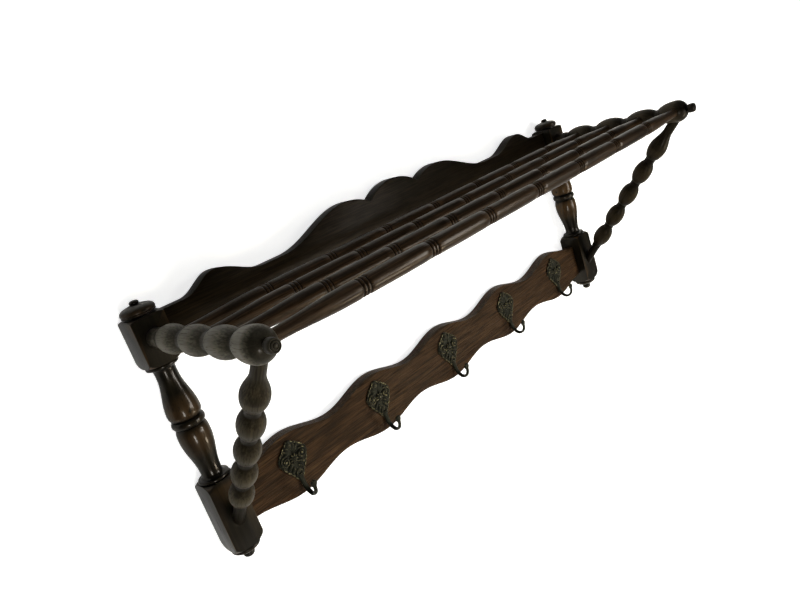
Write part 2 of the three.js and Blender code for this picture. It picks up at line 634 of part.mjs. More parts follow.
// A hook: relief plate and J-shaped bar in one casting, its back at Z = 0 and its front along +Z
function hook() {
  const plate = new THREE.ExtrudeGeometry(plateOutline(), { depth: PLATE_T, bevelEnabled: false });
  const mound = (width, height, rise, x, y, turn) => {
    const ball = new THREE.SphereGeometry(1, 8, 4).scale(width, height, rise).rotateZ(turn);
    return solid(ball.translate(x, y, PLATE_T - RELIEF_SINK));
  };
  const low = -HOOK_DROP;
  const path = new THREE.CatmullRomCurve3([
    new THREE.Vector3(0, -PLATE_BOTTOM * 0.84, BAR_T * 0.52),
    new THREE.Vector3(0, -PLATE_BOTTOM * 1.2, BAR_T * 0.62),
    new THREE.Vector3(0, low * 0.86, HOOK_REACH * 0.17),
    new THREE.Vector3(0, low * 0.97, HOOK_REACH * 0.36),
    new THREE.Vector3(0, low, HOOK_REACH * 0.58),
    new THREE.Vector3(0, low * 0.93, HOOK_REACH * 0.83),
    new THREE.Vector3(0, low * 0.8, HOOK_REACH * 0.97),
    new THREE.Vector3(0, -HOOK_TIP_DROP, HOOK_REACH),
  ]);
  const section = new THREE.Shape();
  section.absellipse(0, 0, BAR_W / 2, BAR_T / 2, 0, 2 * Math.PI);
  const sectionPoints = section.getPoints(BAR_SIDES / 2).slice(0, BAR_SIDES);
  const bar = new THREE.ExtrudeGeometry(new THREE.Shape(sectionPoints), {
    steps: 12,
    extrudePath: path,
  });
  const tip = new THREE.SphereGeometry(1, 8, 4).scale(TIP_HALF_W, TIP_HALF_H, TIP_HALF_T);
  let body = solid(plate)
    .add(mound(ROSETTE_R, ROSETTE_R, ROSETTE_RISE, 0, 1, 0))
    .add(mound(LEAF_W, LEAF_L, LEAF_RISE, PLATE_HALF_W * 0.52, PLATE_TOP * 0.2, 0.5))
    .add(mound(LEAF_W, LEAF_L, LEAF_RISE, -PLATE_HALF_W * 0.52, PLATE_TOP * 0.2, -0.5))
    .add(solid(bar))
    .add(solid(tip.translate(0, -HOOK_TIP_DROP, HOOK_REACH)));
  const around = 2 * (PLATE_HALF_W + HOOK_DROP + HOOK_REACH);
  const inFront = box([-around, -around, 0], [around, around, around]); // the casting's flat back
  body = body.intersect(inFront);
  for (const height of [SCREW_TOP, -SCREW_BOTTOM]) {
    const hole = rod(SCREW_SHANK_R + GAP, -1, PLATE_T + 1, SCREW_SIDES);
    const seat = rod(SCREW_HEAD_R + GAP, PLATE_T, PLATE_T + SCREW_SEAT_H, SCREW_SIDES);
    body = body.subtract(solid(hole.translate(0, height, 0)));
    body = body.subtract(solid(seat.translate(0, height, 0)));
  }
  return geometryOf(body);
}

// A round-headed screw along +Z, the underside of its head at Z = 0
function screw() {
  return geometryOf(
    solid(
      turned(
        [
          [0, -SCREW_L],
          [SCREW_SHANK_R, SCREW_POINT_L - SCREW_L],
          [SCREW_SHANK_R, 0],
          [SCREW_HEAD_R, 0],
          [SCREW_HEAD_R * 0.8, SCREW_HEAD_H * 0.65],
          [0, SCREW_HEAD_H],
        ],
        SCREW_SIDES,
      ),
    ),
  );
}

// Finishes
const oak = (color, roughness) => new THREE.MeshStandardMaterial({ color, roughness, metalness: 0 });
const postOak = oak(0x2a1a10, 0.35);
const boardOak = oak(0x3a2418, 0.55);
const bobbinOak = oak(0x3b322b, 0.7);
const railOak = oak(0x33241b, 0.45);
const castBrass = new THREE.MeshStandardMaterial({ color: 0x2b2a1d, roughness: 0.4, metalness: 0.8 });
const screwSteel = new THREE.MeshStandardMaterial({ color: 0x3c3a30, roughness: 0.4, metalness: 0.9 });

const rack = new THREE.Group();
rack.position.z = -HANG_Z;

function place(name, geometry, material, position, turn = [0, 0, 0]) {
  const mesh = new THREE.Mesh(geometry, material);
  mesh.name = name;
  mesh.position.set(...position);
  mesh.rotation.set(...turn);
  rack.add(mesh);
}

const braceGeometry = brace();
for (const [name, side] of [['left', -1], ['right', 1]]) {
  const x = side * HALF_SPACING;
  place(`${name}_post`, post(side), postOak, [x, -HALF_BLOCK, 0]);
  place(`${name}_arm`, arm(side), bobbinOak, [x, -BLOCK_SIDE, ARM_Z], [FORWARD, 0, 0]);
  const foot = [x, -BLOCK_SIDE, BRACE_FOOT_Z];
  place(`${name}_brace`, braceGeometry, bobbinOak, foot, [BRACE_TILT, 0, 0]);
}

const upperBoard = board(upperEdges, lobePlaces(), [], []);
place('upper_board', upperBoard, boardOak, [0, -BOARD_BACK, 0], [FORWARD, 0, 0]);
const lowerBoard = board(lowerEdges, wavePlaces(), wavePlaces(), screwPlaces);
place('lower_board', lowerBoard, boardOak, [0, -BOARD_BACK, 0], [FORWARD, 0, 0]);

const railGeometry = rail();
for (let i = 0; i < SHELF_RAILS; i += 1) {
  const y = -(BLOCK_SIDE + FIRST_BOBBIN + i * BOBBIN_PITCH);
  place(`shelf_rail_${i + 1}`, railGeometry, railOak, [0, y, ARM_Z], [0, Math.PI / 2, 0]);
}

const hookGeometry = hook();
const screwGeometry = screw();
hookPlaces.forEach((x, i) => {
  const back = -BOARD_FRONT - GAP;
  place(`coat_hook_${i + 1}`, hookGeometry, castBrass, [x, back, HOOK_PLATE_Z], [FORWARD, 0, 0]);
  ['upper', 'lower'].forEach((level, j) => {
    const seat = [x, back - PLATE_T - GAP, screwHeights[j]];
    place(`hook_screw_${i + 1}_${level}`, screwGeometry, screwSteel, seat, [FORWARD, 0, 0]);
  });
});

export default rack;
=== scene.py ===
import math

import bmesh
import bpy
from mathutils import Matrix, Vector


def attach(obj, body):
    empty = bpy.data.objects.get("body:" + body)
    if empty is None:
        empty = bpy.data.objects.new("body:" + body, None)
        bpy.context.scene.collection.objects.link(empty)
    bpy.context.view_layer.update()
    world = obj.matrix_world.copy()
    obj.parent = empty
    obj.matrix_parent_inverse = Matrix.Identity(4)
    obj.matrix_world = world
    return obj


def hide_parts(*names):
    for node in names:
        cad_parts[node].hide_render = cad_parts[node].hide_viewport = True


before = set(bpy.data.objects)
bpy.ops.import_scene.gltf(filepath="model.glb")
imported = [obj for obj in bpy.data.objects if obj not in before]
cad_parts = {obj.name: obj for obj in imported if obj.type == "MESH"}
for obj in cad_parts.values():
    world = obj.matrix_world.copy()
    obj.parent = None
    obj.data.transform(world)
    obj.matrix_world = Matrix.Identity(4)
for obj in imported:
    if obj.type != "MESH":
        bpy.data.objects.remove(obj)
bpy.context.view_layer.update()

# The camera stands left of the rack and a little above it and looks along it to the right,
# rolled to the right as in the picture. It was fitted to the posts, arms, rails and boards.
camera = bpy.data.objects.new("picture_camera", bpy.data.cameras.new("picture_camera"))
bpy.context.scene.collection.objects.link(camera)
camera.location = (-0.73567, -0.83524, 0.14450)
camera.rotation_euler = [math.radians(angle) for angle in (74.2253, 18.7418, -43.3245)]
camera.data.sensor_width = 36
camera.data.lens = 28.584
camera.data.shift_x = 0.01818
camera.data.shift_y = 0.00436
bpy.context.scene.camera = camera
bpy.context.scene.view_settings.view_transform = "Standard"

# The stage: a matt white wall that the rack hangs on and a white floor far below it. Both show
# only their front, so that a view from behind or below still sees the rack.
WALL_GAP = 0.0006  # behind the backs of the posts, which lie in the plane Y = 0
FLOOR_DROP = 1.7
STAGE_HALF = 5.0


def stage_paint(name, paint, glow, glossy_glow):
    """Matt white paint that glows to the eye, and less to gloss, so that it shows as white."""
    material = bpy.data.materials.new(name)
    material.use_nodes = True
    nodes, links = material.node_tree.nodes, material.node_tree.links
    nodes.clear()
    path = nodes.new("ShaderNodeLightPath")
    matt = nodes.new("ShaderNodeBsdfDiffuse")
    matt.inputs["Color"].default_value = (*paint, 1)
    light = nodes.new("ShaderNodeEmission")
    seen = nodes.new("ShaderNodeMath")
    seen.operation = "MAXIMUM"
    links.new(path.outputs["Is Camera Ray"], seen.inputs[0])
    links.new(path.outputs["Is Transmission Ray"], seen.inputs[1])
    mirrored = nodes.new("ShaderNodeMath")
    mirrored.operation = "MULTIPLY"
    mirrored.inputs[1].default_value = glossy_glow
    links.new(path.outputs["Is Glossy Ray"], mirrored.inputs[0])
    strength = nodes.new("ShaderNodeMath")
    strength.operation = "MULTIPLY_ADD"
    strength.inputs[1].default_value = glow
    links.new(seen.outputs[0], strength.inputs[0])
    links.new(mirrored.outputs[0], strength.inputs[2])
    links.new(strength.outputs[0], light.inputs["Strength"])
    lit = nodes.new("ShaderNodeAddShader")
    links.new(matt.outputs[0], lit.inputs[0])
    links.new(light.outputs[0], lit.inputs[1])
    side = nodes.new("ShaderNodeNewGeometry")
    open_way = nodes.new("ShaderNodeMath")
    open_way.operation = "MAXIMUM"
    links.new(side.outputs["Backfacing"], open_way.inputs[0])
    links.new(path.outputs["Is Shadow Ray"], open_way.inputs[1])
    clear = nodes.new("ShaderNodeBsdfTransparent")
    mixed = nodes.new("ShaderNodeMixShader")
    links.new(open_way.outputs[0], mixed.inputs[0])
    links.new(lit.outputs[0], mixed.inputs[1])
    links.new(clear.outputs[0], mixed.inputs[2])
    output = nodes.new("ShaderNodeOutputMaterial")
    links.new(mixed.outputs[0], output.inputs["Surface"])
    return material


wall_paint = stage_paint("wall_paint", (0.82, 0.83, 0.82), glow=0.76, glossy_glow=0.16)
floor_paint = stage_paint("floor_paint", (0.6, 0.6, 0.6), glow=0.95, glossy_glow=0.05)
upright = Matrix.Translation((0, WALL_GAP, 0)) @ Matrix.Rotation(math.pi / 2, 4, "X")
level = Matrix.Translation((0, WALL_GAP - STAGE_HALF, -FLOOR_DROP))
for name, place, paint in (("wall", upright, wall_paint), ("floor", level, floor_paint)):
    sheet = bmesh.new()
    bmesh.ops.create_grid(sheet, x_segments=1, y_segments=1, size=STAGE_HALF, matrix=place)
    stage_mesh = bpy.data.meshes.new(name)
    sheet.to_mesh(stage_mesh)
    sheet.free()
    stage_mesh.materials.append(paint)
    stage_piece = bpy.data.objects.new(name, stage_mesh)
    bpy.context.scene.collection.objects.link(stage_piece)

# The light: a tall window in front at the right with a low one beside it, a low one at the left
# behind the camera, warm light off a floor at the right, a faint ceiling light, and a broad one
# behind the wall for the back.
ROOM_LIGHT = 0.03
BACK_LIGHT = 0.3
DAYLIGHT = (1, 0.97, 0.92)
WARM_LIGHT = (1, 0.88, 0.68)
PLAIN_LIGHT = (1, 1, 1)
for name, place, aim, size, power, tint in (
    ("window_right", (1.40, -1.90, -0.24), (0, 0, -0.12), (0.36, 1.0), 24, DAYLIGHT),
    ("window_left", (-1.40, -2.00, -0.85), (-0.2, 0, -0.12), (0.28, 0.6), 18, DAYLIGHT),
    ("low_window", (0.80, -1.90, -0.43), (-0.2, 0, -0.05), (0.62, 0.2), 8, DAYLIGHT),
    ("low_right", (0.90, -1.45, -1.25), (-0.2, -0.2, -0.12), (0.4, 0.35), 14, WARM_LIGHT),
    ("ceiling", (0.1, -1.3, 1.9), (0, -0.1, -0.1), (2.4, 1.2), 3, PLAIN_LIGHT),
    ("behind", (0, 2.0, 0.5), (0, 0, -0.1), (3.0, 2.2), 36, PLAIN_LIGHT),
):
    lamp = bpy.data.lights.new(name, "AREA")
    lamp.shape = "RECTANGLE"
    lamp.size, lamp.size_y = size
    lamp.energy = power
    lamp.color = tint
    holder = bpy.data.objects.new(name, lamp)
    holder.location = place
    holder.rotation_euler = (Vector(aim) - Vector(place)).to_track_quat("-Z", "Y").to_euler()
    bpy.context.scene.collection.objects.link(holder)

world = bpy.data.worlds.new("room")
world.use_nodes = True
bpy.context.scene.world = world
nodes, links = world.node_tree.nodes, world.node_tree.links
background = nodes["Background"]
background.inputs["Color"].default_value = (1, 1, 1, 1)
direction = nodes.new("ShaderNodeTexCoord")
parts = nodes.new("ShaderNodeSeparateXYZ")
links.new(direction.outputs["Generated"], parts.inputs[0])
depth = nodes.new("ShaderNodeMapRange")
depth.interpolation_type = "SMOOTHSTEP"
depth.inputs["From Min"].default_value = -0.35
depth.inputs["From Max"].default_value = 0.35
depth.inputs["To Min"].default_value = ROOM_LIGHT
depth.inputs["To Max"].default_value = BACK_LIGHT
links.new(parts.outputs["Y"], depth.inputs["Value"])
path = nodes.new("ShaderNodeLightPath")
seen = nodes.new("ShaderNodeMath")
seen.operation = "MAXIMUM"
links.new(path.outputs["Is Camera Ray"], seen.inputs[0])
links.new(depth.outputs["Result"], seen.inputs[1])
links.new(seen.outputs[0], background.inputs["Strength"])

# The posts. Each is one length of square oak, stained very dark and polished. It is turned to a
# double vase with a ring between its two square blocks and to a button at both ends, and it is
# bored for the arm and the brace, mortised for the boards and slotted behind for a wall screw.
MM = 0.001  # sizes from here on are in millimetres
HANG_HEIGHT = 312.95  # from the lower blocks' corners up to the wall screws, where Z is 0
POST_X = 477
BLOCK_HALF = 23
BOARD_BACK = 6
BOARD_THICK = 22
TENON_THICK = 12
TENON_LONG = 14
GAP = 0.3
TENON_SHOULDER = 8
OVERCUT = 1  # how far a cutting body stands out of the wood
ARM_HEIGHT = 306.45
ARM_REACH = 254.5
ARM_TENON_RADIUS = 9.5
ARM_TENON_LONG = 20
BRACE_FOOT = 36.5
BRACE_AIM_DROP = 8
BRACE_RISE = ARM_HEIGHT - BRACE_AIM_DROP - BRACE_FOOT
BRACE_TILT = math.atan2(ARM_REACH, BRACE_RISE)  # from upright
BRACE_END_RADIUS = 8.6
BRACE_TENON_LONG = 14
KEYHOLE_DROP = 14  # from the wall screw's seat down to the entry
KEYHOLE_DEEP = 9
KEYHOLE_LIP = 3.5  # wood left behind the wall screw's head
ENTRY_RADIUS = 5.5
SLOT_RADIUS = 2.6
POCKET_RADIUS = 5.1
POST_ARRIS = 0.5
BLOCK_EDGE_WEAR_AND_HIGHLIGHT = 3.0
VASES = ((107, 177), (191, 252))
VASE_WEAR_FROM = 16
VASE_WEAR = 0.5
END_WEAR = 0.35
FORWARDS = Matrix.Rotation(math.pi / 2, 4, "X")  # lays an upright axis down to the front


def swell(start, end, steps=12):
    """Half a cosine wave between two (radius, height) points of an outline, without the first."""
    (r0, z0), (r1, z1) = start, end
    share = [step / steps for step in range(1, steps + 1)]
    return [(r0 + (r1 - r0) * (1 - math.cos(math.pi * t)) / 2, z0 + (z1 - z0) * t) for t in share]


def flow(*points, steps=5):
    """A smooth line through (radius, height) points, for one curve of a turned outline."""
    ends = [points[0], *points, points[-1]]
    line = [points[0]]
    for before, here, there, after in zip(ends, ends[1:], ends[2:], ends[3:]):
        for step in range(1, steps + 1):
            t = step / steps
            line.append(
                tuple(
                    0.5
                    * (
                        2 * b
                        + (c - a) * t
                        + (2 * a - 5 * b + 4 * c - d) * t**2
                        + (3 * b - a - 3 * c + d) * t**3
                    )
                    for a, b, c, d in zip(before, here, there, after)
                )
            )
    return line


def bead(root, crest, low, high, steps=10):
    """A half-round bead between two heights."""
    line = []
    for step in range(steps + 1):
        angle = math.pi * step / steps
        height = (low + high) / 2 - (high - low) / 2 * math.cos(angle)
        line.append((root + (crest - root) * math.sin(angle), height))
    return line


def turn(outline, sides=64, reach=7.0):
    """Spins an outline of (radius, height) points about Z and marks how proud each point is."""
    body = bmesh.new()
    proud = body.verts.layers.float.new("proud")
    line = []
    for radius, height in outline:
        near = [radius, *(r for r, z in outline if abs(z - height) < reach and r > 0.5)]
        point = body.verts.new((radius, 0, height))
        point[proud] = radius - sum(near) / len(near)
        line.append(point)
    edges = [body.edges.new(pair) for pair in zip(line, line[1:])]
    bmesh.ops.spin(
        body,
        geom=line + edges,
        cent=(0, 0, 0),
        axis=(0, 0, 1),
        angle=2 * math.pi,
        steps=sides,
        use_merge=True,
    )
    bmesh.ops.remove_doubles(body, verts=body.verts, dist=1e-4)
    bmesh.ops.recalc_face_normals(body, faces=body.faces)
    return body


def rod(radius, low, high, place, sides=32):
    """A round bar between two heights, for boring a hole."""
    body = bmesh.new()
    middle = place @ Matrix.Translation((0, 0, (low + high) / 2))
    bmesh.ops.create_cone(
        body,
        cap_ends=True,
        segments=sides,
        radius1=radius,
        radius2=radius,
        depth=high - low,
        matrix=middle,
    )
    return body


def block(low, high):
    """A squared block between two corners, for a tenon or a mortise."""
    body = bmesh.new()
    size = [b - a for a, b in zip(low, high)]
    middle = [(a + b) / 2 for a, b in zip(low, high)]
    place = Matrix.Translation(middle) @ Matrix.Diagonal((*size, 1))
    bmesh.ops.create_cube(body, size=1, matrix=place)
    return body


def object_of(name, body):
    """Puts a body into the scene as an object."""
    mesh = bpy.data.meshes.new(name)
    body.to_mesh(mesh)
    body.free()
    piece = bpy.data.objects.new(name, mesh)
    bpy.context.scene.collection.objects.link(piece)
    return piece


def closed_cut(body, point, outwards):
    """Saws a body off at a plane and closes the cut."""
    cut = bmesh.ops.bisect_plane(
        body,
        geom=body.verts[:] + body.edges[:] + body.faces[:],
        dist=1e-4,
        plane_co=point,
        plane_no=outwards,
        clear_outer=True,
    )
    rim = [part for part in cut["geom_cut"] if isinstance(part, bmesh.types.BMEdge)]
    bmesh.ops.edgeloop_fill(body, edges=rim)


def ease(body, arrises, offset, segments):
    """Rounds sharp edges a little."""
    bmesh.ops.bevel(
        body,
        geom=arrises,
        offset=offset,
        segments=segments,
        profile=0.5,
        affect="EDGES",
        clamp_overlap=True,
        material=-1,
    )


def finished_mesh(piece):
    """The mesh that a piece's modifiers give."""
    bpy.context.view_layer.update()
    depsgraph = bpy.context.evaluated_depsgraph_get()
    return bpy.data.meshes.new_from_object(piece.evaluated_get(depsgraph))


def worked(piece, cuts=(), joins=()):
    """Joins bodies to a piece and cuts others out of it."""
    tools = []
    for operation, bodies in (("UNION", joins), ("DIFFERENCE", cuts)):
        for body in bodies:
            tool = object_of("tool", body)
            tools.append(tool)
            step = piece.modifiers.new("work", "BOOLEAN")
            step.operation = operation
            step.solver = "EXACT"
            step.object = tool
    mesh = finished_mesh(piece)
    piece.modifiers.clear()
    piece.data = mesh
    mesh.name = piece.name
    for tool in tools:
        bpy.data.objects.remove(tool)


def rack_place(x, y, height):
    """The matrix from a body in millimetres about its own axis to its place on the rack."""
    return Matrix.Scale(MM, 4) @ Matrix.Translation((x, y, height - HANG_HEIGHT))


def fit(piece, place, node, material, crease=35):
    """Sets a finished piece in its place, as what the CAD node stands for."""
    mesh = piece.data
    mesh.transform(place)
    mesh.materials.clear()
    mesh.materials.append(material)
    mesh.shade_smooth()
    mesh.set_sharp_from_angle(angle=math.radians(crease))
    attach(piece, "root")
    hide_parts(node)


def oak_finish(
    name,
    stain,
    light,
    worn,
    along,
    tilt=0.0,
    rough=0.45,
    gloss=0.3,
    polish=0.0,
    relief=0.1,
    wear=(0.3, 3.2),
    fine=1.0,
    dirt_and_shade=(-1.8, -0.3),
):
    """Stained oak whose grain runs along an axis, paler where wear has rubbed proud places and
    darker in its hollows, which is grime and painted shade.
    """
    material = bpy.data.materials.new(name)
    material.use_nodes = True
    nodes, links = material.node_tree.nodes, material.node_tree.links
    surface = nodes["Principled BSDF"]
    place = nodes.new("ShaderNodeTexCoord")

    def grain(scale, stretch, detail, distortion=0.0):
        mapping = nodes.new("ShaderNodeMapping")
        mapping.vector_type = "TEXTURE"
        mapping.inputs["Rotation"].default_value = (tilt, 0, 0)
        mapping.inputs["Scale"].default_value = [1 + (stretch - 1) * part for part in along]
        links.new(place.outputs["Object"], mapping.inputs["Vector"])
        noise = nodes.new("ShaderNodeTexNoise")
        noise.inputs["Scale"].default_value = scale
        noise.inputs["Detail"].default_value = detail
        noise.inputs["Distortion"].default_value = distortion
        links.new(mapping.outputs["Vector"], noise.inputs["Vector"])
        return noise.outputs["Fac"]

    def ranged(value, low, high, to_low, to_high):
        step = nodes.new("ShaderNodeMapRange")
        for socket, number in (
            ("From Min", low),
            ("From Max", high),
            ("To Min", to_low),
            ("To Max", to_high),
        ):
            step.inputs[socket].default_value = number
        links.new(value, step.inputs["Value"])
        return step.outputs["Result"]

    def combined(operation, first, second):
        step = nodes.new("ShaderNodeMath")
        step.operation = operation
        links.new(first, step.inputs[0])
        links.new(second, step.inputs[1])
        return step.outputs[0]

    def mixed(share, first, second):
        step = nodes.new("ShaderNodeMix")
        step.data_type = "RGBA"
        links.new(share, step.inputs[0])
        for socket, value in ((step.inputs[6], first), (step.inputs[7], second)):
            if isinstance(value, tuple):
                socket.default_value = (*value, 1)
            else:
                links.new(value, socket)
        return step.outputs[2]

    dark = tuple(0.3 * part for part in stain)
    figure = grain(70 * fine, 18, 3, 0.5)
    streaks = grain(230 * fine, 30, 3, 0.3)
    pores = ranged(grain(900, 34, 2), 0.54, 0.68, 0.0, 1.0)
    blotch = grain(14, 2.5, 3)
    attribute = nodes.new("ShaderNodeAttribute")
    attribute.attribute_name = "proud"
    proud = attribute.outputs["Fac"]
    base = mixed(ranged(figure, 0.35, 0.65, 0.0, 1.0), stain, light)
    base = mixed(ranged(streaks, 0.56, 0.42, 0.0, 0.6), base, dark)
    patchy = ranged(blotch, 0.35, 0.65, 0.3, 1.0)
    base = mixed(combined("MULTIPLY", ranged(proud, *wear, 0.0, 1.0), patchy), base, worn)
    # The hollows go dark like the filled pores: grime and painted shade in coves, necks and
    # grooves.
    filled_pores = ranged(pores, 0.0, 1.0, 0.0, 0.5)
    base = mixed(combined("MAXIMUM", ranged(proud, *dirt_and_shade, 0.85, 0.0), filled_pores), base, dark)
    links.new(base, surface.inputs["Base Color"])
    rubbed = ranged(blotch, 0.3, 0.7, rough - 0.06, rough + 0.08)
    uneven = combined("ADD", rubbed, ranged(pores, 0.0, 1.0, 0.0, 0.2))
    links.new(uneven, surface.inputs["Roughness"])
    surface.inputs["Specular IOR Level"].default_value = gloss
    surface.inputs["Specular Tint"].default_value = (1, 0.84, 0.62, 1)
    surface.inputs["Coat Weight"].default_value = polish
    surface.inputs["Coat Roughness"].default_value = 0.14
    raised = combined("ADD", streaks, figure)
    height = combined("SUBTRACT", raised, ranged(pores, 0.0, 1.0, 0.0, 0.3))
    bump = nodes.new("ShaderNodeBump")
    bump.inputs["Strength"].default_value = 1.0
    bump.inputs["Distance"].default_value = 0.001 * relief
    links.new(height, bump.inputs["Height"])
    links.new(bump.outputs["Normal"], surface.inputs["Normal"])
    return material


CLEAR_HALF = POST_X - BLOCK_HALF
HOOK_PITCH = 2 * CLEAR_HALF / 5
LOWER_WAVE = 8.1
UPPER_WAVE = 9.5
WAVE_TOP = 80.7
BOARD_FOOT = 280
NOTCH_SHARE = 0.13  # where the lobes meet, as a share of the way from the middle to a post
NOTCH_HEIGHT = 349.8
MIDDLE_LOBE = (0, 370.8)
LOBE_LINE = ((0.248, 365.6), (0.55, 329.8), (0.628, 329.8), (0.8, 353.2), (0.915, 332.6))


def wave_edges(x):
    """Heights of the lower board's waved edges, which swell at each hook."""
    wave = math.cos(2 * math.pi * (x + 2 * HOOK_PITCH) / HOOK_PITCH)
    return -LOWER_WAVE * wave, WAVE_TOP + UPPER_WAVE * wave


def lobe_edges(x):
    """Heights of the upper board's edges: straight below, and three lobes and two humps above."""
    at = abs(x) / CLEAR_HALF
    for (start, low), (end, high) in zip(LOBE_LINE, LOBE_LINE[1:]):
        if start <= at < end:
            t = (at - start) / (end - start)
            return BOARD_FOOT, low + (high - low) * (1 - math.cos(math.pi * t)) / 2
    last_share, last_height = LOBE_LINE[-1]
    if at >= last_share:
        return BOARD_FOOT, last_height
    top, crown = MIDDLE_LOBE if at < NOTCH_SHARE else LOBE_LINE[0]
    span, rise = abs(NOTCH_SHARE - top) * CLEAR_HALF, crown - NOTCH_HEIGHT
    radius = (span**2 + rise**2) / (2 * rise)
    return BOARD_FOOT, crown - radius + math.sqrt(radius**2 - ((at - top) * CLEAR_HALF) ** 2)


corner = BLOCK_HALF * math.sqrt(2)
stock = corner + 0.7  # turned this far out, the blocks keep their full square corners
post_outline = (
    flow((0, -36.6), (4.9, -35.8), (7.8, -33.5), (8.6, -30.6), (7.9, -28.0), (6.4, -26.4))
    + flow((8.8, -25.7), (13, -24.6), (17, -22.6), (19.6, -20.8))
    + bead(19.4, 21.4, -20.8, -14.8)
    + [(19, -14.7), (19, -13.5)]
    + flow((22.6, -13.4), (25.6, -12.6), (29.4, -9.2), (31.8, -4.4), (corner, 0))
    + [(stock, 0), (stock, 85.3)]
    + flow((corner, 85.3), (31.6, 88.6), (28.6, 91.8), (25.2, 93.8), (22.6, 94.3))
    + [(20.2, 94.4)]
    + bead(20.4, 22, 94.5, 99.3)
    + flow((20.0, 99.4), (17.0, 100.1), (15.0, 102.4), (14.4, 106))
    + swell((14.4, 107.3), (22.3, 161), 18)
    + flow((22.3, 161), (22.2, 167), (21.4, 173), (19.6, 177.6))
    + [(18.9, 178.1)]
    + bead(19.4, 22.9, 178.6, 189.2, 14)
    + [(18.9, 189.6)]
    + flow((19.6, 190.1), (21.6, 193), (22.6, 196.4), (22.8, 199.8))
    + swell((22.8, 199.8), (14.4, 251.5), 18)
    + flow((14.4, 252), (14.4, 258), (15.0, 262.4), (17.0, 264.7), (20.0, 265.4))
    + bead(20.4, 22, 265.5, 270.3)
    + [(20.2, 270.4)]
    + flow((22.6, 270.5), (25.2, 271), (28.6, 273), (31.6, 276.2), (corner, 279.5))
    + [(stock, 279.5), (stock, 333.4)]
    + flow((corner, 333.4), (31, 334.9), (27.4, 336.3), (22.6, 337.2))
    + [(19, 337.3), (19, 338.4)]
    + flow((21.0, 338.5), (22.3, 339.4), (22.6, 340.4), (22.2, 341.3))
    + [(21.7, 341.5)]
    + flow(
        (22.3, 341.9),
        (22.9, 343.2),
        (22.6, 345.4),
        (21.2, 347.6),
        (18, 349.7),
        (13, 351.2),
        (8.6, 352.2),
    )
    + flow((5.5, 352.9), (6.2, 353.8), (6.3, 355.1), (5.4, 356.5), (3.4, 357.5), (0, 357.8))
)
# The posts' coves and grooves darken, which is grime and painted shade.
post_oak = oak_finish(
    "post_oak",
    stain=(0.0036, 0.0033, 0.0019),
    light=(0.0085, 0.0068, 0.0035),
    worn=(0.060, 0.032, 0.0115),
    along=(0, 0, 1),
    rough=0.34,
    gloss=0.12,
    polish=0.22,
    relief=0.05,
    wear=(0.8, 4.2),
)
for name, side in (("left", -1), ("right", 1)):
    body = turn(post_outline, sides=72, reach=16)
    for axis in (Vector((1, 0, 0)), Vector((-1, 0, 0)), Vector((0, 1, 0)), Vector((0, -1, 0))):
        closed_cut(body, axis * BLOCK_HALF, axis)
    bmesh.ops.recalc_face_normals(body, faces=body.faces)
    arrises = [
        edge
        for edge in body.edges
        if edge.calc_face_angle(0) > 0.3
        and all(max(abs(v.co.x), abs(v.co.y)) > BLOCK_HALF - 0.01 for v in edge.verts)
    ]
    ease(body, arrises, offset=POST_ARRIS, segments=2)
    # The blocks' arrises get the pale worn colour, which is wear and painted highlight.
    proud = body.verts.layers.float["proud"]
    for vert in body.verts:
        inside, outside = sorted((abs(vert.co.x), abs(vert.co.y)))
        if outside > BLOCK_HALF - 0.3:
            vert[proud] = BLOCK_EDGE_WEAR_AND_HIGHLIGHT if inside > BLOCK_HALF - 0.45 else 0
        elif any(low < vert.co.z < high for low, high in VASES):
            vert[proud] += VASE_WEAR * (math.hypot(inside, outside) - VASE_WEAR_FROM)
        elif not 90 < vert.co.z < 275:
            vert[proud] *= END_WEAR
    post = object_of(f"turned_post_{name}", body)
    inner = -side * BLOCK_HALF
    deep = inner + side * (TENON_LONG + GAP)
    half = TENON_THICK / 2 + GAP
    middle = BLOCK_HALF - BOARD_BACK - BOARD_THICK / 2
    sockets = []
    for low, high in (wave_edges(CLEAR_HALF), lobe_edges(CLEAR_HALF)):
        near, far = sorted((deep, inner - side * OVERCUT))
        foot, top = low + TENON_SHOULDER - GAP, high - TENON_SHOULDER + GAP
        sockets.append(block((near, middle - half, foot), (far, middle + half, top)))
    front = Matrix.Translation((0, -BLOCK_HALF, ARM_HEIGHT)) @ FORWARDS
    sockets.append(rod(ARM_TENON_RADIUS + GAP, -ARM_TENON_LONG - GAP, OVERCUT, front))
    foot = Matrix.Translation((0, -BLOCK_HALF, BRACE_FOOT)) @ Matrix.Rotation(BRACE_TILT, 4, "X")
    sockets.append(rod(BRACE_END_RADIUS + GAP, -BRACE_TENON_LONG - GAP, 30, foot))
    back = Matrix.Translation((0, BLOCK_HALF, 0)) @ FORWARDS
    seat, entry = HANG_HEIGHT, HANG_HEIGHT - KEYHOLE_DROP
    for radius, start, height in (
        (ENTRY_RADIUS, -OVERCUT, entry),
        (SLOT_RADIUS, -OVERCUT, seat),
        (POCKET_RADIUS, KEYHOLE_LIP, seat),
    ):
        hole = Matrix.Translation((0, 0, height)) @ back
        sockets.append(rod(radius, start, KEYHOLE_DEEP, hole))
    floor = BLOCK_HALF - KEYHOLE_DEEP
    for half, start in ((SLOT_RADIUS, -OVERCUT), (POCKET_RADIUS, KEYHOLE_LIP)):
        sockets.append(block((-half, floor, entry), (half, BLOCK_HALF - start, seat)))
    worked(post, cuts=sockets)
    fit(post, rack_place(side * POST_X, -BLOCK_HALF, 0), f"{name}_post", post_oak)

